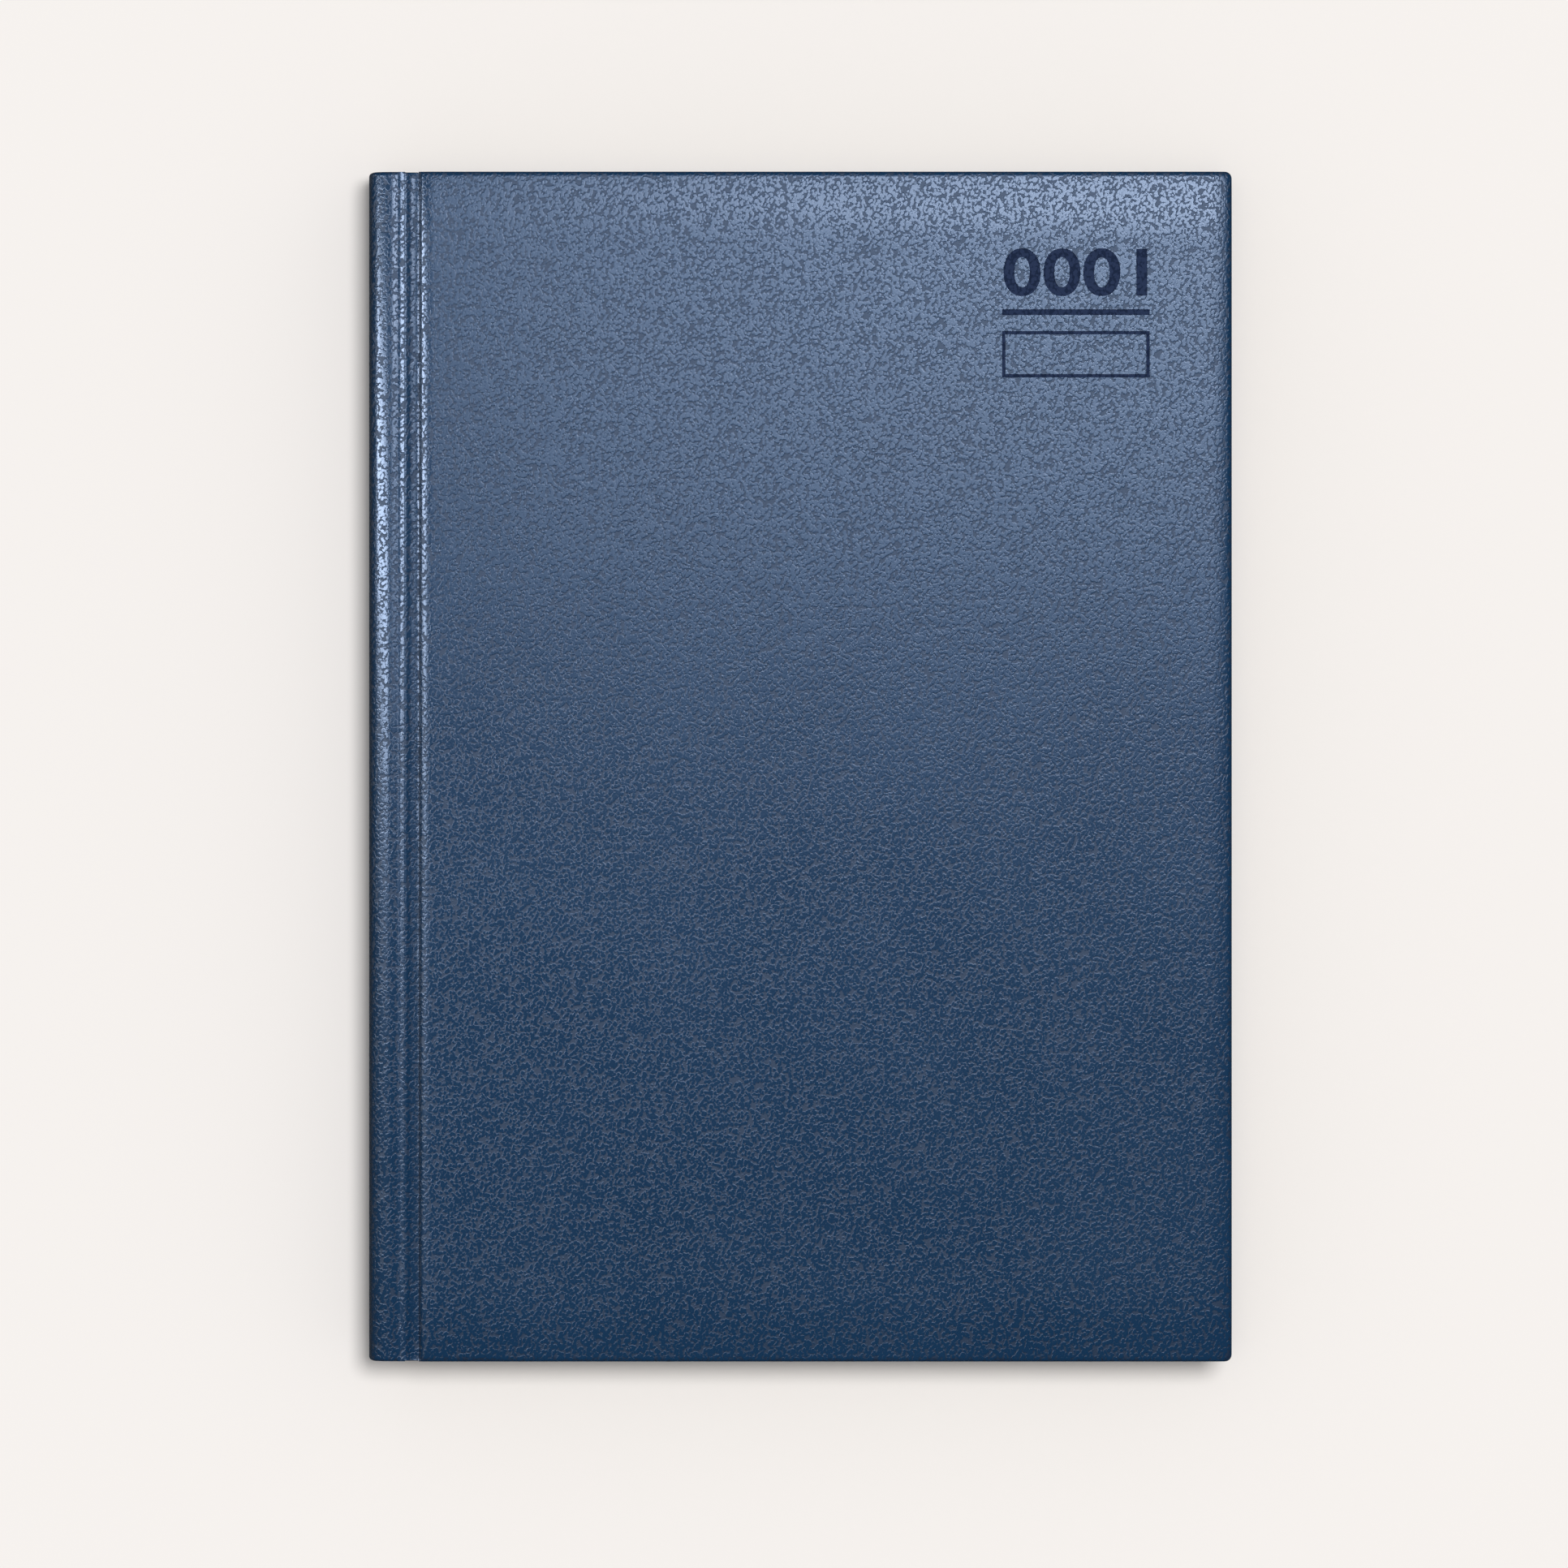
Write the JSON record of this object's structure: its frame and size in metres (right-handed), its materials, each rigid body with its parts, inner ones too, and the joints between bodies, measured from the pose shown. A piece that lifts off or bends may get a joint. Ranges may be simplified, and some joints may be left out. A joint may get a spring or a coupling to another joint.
{
  "type": "pilot logbook",
  "caption": "Case-bound logbook with a padded navy leathercloth cover, rounded spine, sewn ruled pages, turning leaves and covers that open flat.",
  "frame": {"origin": "centre of the back cover's resting face, under the closed book", "axes": "+X from the spine to the fore-edge, +Y to the head, +Z out of the front cover"},
  "size_m": [0.1786, 0.246, 0.0263],
  "materials": {
    "leathercloth": "fine pebble grain, semi-matt",
    "greyboard": "raw",
    "foam": "open cell, matt",
    "endpaper": "uncoated",
    "page_paper": "uncoated, with plain ruled tables",
    "spine_card": "raw",
    "kraft": "raw",
    "mull_cloth": "open weave",
    "glue": "dry film",
    "thread": "waxed",
    "band_cloth": "blue and white stripe"
  },
  "bodies": {
    "text_block": {"section_1": "page_paper", "section_2": "page_paper", "section_3": "page_paper", "section_4": "page_paper", "section_5": "page_paper", "section_6": "page_paper", "section_7": "page_paper", "section_8": "page_paper", "front_flyleaf_gutter": "endpaper", "back_flyleaf_gutter": "endpaper", "spine_adhesive": "glue", "sewing_thread": "thread", "mull": "mull_cloth", "spine_lining": "kraft", "head_band": "band_cloth", "tail_band": "band_cloth", "spine_strip": "spine_card", "spine_skin": "leathercloth"},
    "front_cover": {"front_board": "greyboard", "front_foam": "foam", "front_skin": "leathercloth", "front_pastedown": "endpaper"},
    "back_cover": {"back_board": "greyboard", "back_foam": "foam", "back_skin": "leathercloth", "back_pastedown": "endpaper"},
    "front_fly": {"front_flyleaf": "endpaper"},
    "back_fly": {"back_flyleaf": "endpaper"},
    "turning_leaves_1": {"leaf_group_1": "page_paper"},
    "turning_leaves_2": {"leaf_group_2": "page_paper"},
    "turning_leaves_3": {"leaf_group_3": "page_paper"},
    "turning_leaves_4": {"leaf_group_4": "page_paper"}
  },
  "joints": [
    {"name": "front_cover_hinge", "type": "hinge", "parent": "text_block", "child": "front_cover", "pos_m": [-0.08, 0, 0.0252], "axis": [0, -1, 0], "range_deg": [0, 180]},
    {"name": "back_cover_hinge", "type": "hinge", "parent": "text_block", "child": "back_cover", "pos_m": [-0.08, 0, 0.0011], "axis": [0, 1, 0], "range_deg": [0, 180]},
    {"name": "front_flyleaf_hinge", "type": "hinge", "parent": "text_block", "child": "front_fly", "pos_m": [-0.08, 0, 0.02115], "axis": [0, -1, 0], "range_deg": [0, 153]},
    {"name": "back_flyleaf_hinge", "type": "hinge", "parent": "text_block", "child": "back_fly", "pos_m": [-0.08, 0, 0.00515], "axis": [0, 1, 0], "range_deg": [0, 153]},
    {"name": "leaf_hinge_1", "type": "hinge", "parent": "text_block", "child": "turning_leaves_1", "pos_m": [-0.08, 0, 0.02065], "axis": [0, -1, 0], "range_deg": [0, 144]},
    {"name": "leaf_hinge_2", "type": "hinge", "parent": "text_block", "child": "turning_leaves_2", "pos_m": [-0.08, 0, 0.02015], "axis": [0, -1, 0], "range_deg": [0, 133.2]},
    {"name": "leaf_hinge_3", "type": "hinge", "parent": "text_block", "child": "turning_leaves_3", "pos_m": [-0.08, 0, 0.01965], "axis": [0, -1, 0], "range_deg": [0, 54]},
    {"name": "leaf_hinge_4", "type": "hinge", "parent": "text_block", "child": "turning_leaves_4", "pos_m": [-0.08, 0, 0.01915], "axis": [0, -1, 0], "range_deg": [0, 21.6]}
  ],
  "couplings": [
    {"joint": "front_flyleaf_hinge", "follows": "front_cover_hinge", "ratio": 0.85},
    {"joint": "back_flyleaf_hinge", "follows": "back_cover_hinge", "ratio": 0.85},
    {"joint": "leaf_hinge_1", "follows": "front_cover_hinge", "ratio": 0.8},
    {"joint": "leaf_hinge_2", "follows": "front_cover_hinge", "ratio": 0.74},
    {"joint": "leaf_hinge_3", "follows": "front_cover_hinge", "ratio": 0.3},
    {"joint": "leaf_hinge_4", "follows": "front_cover_hinge", "ratio": 0.12}
  ]
}
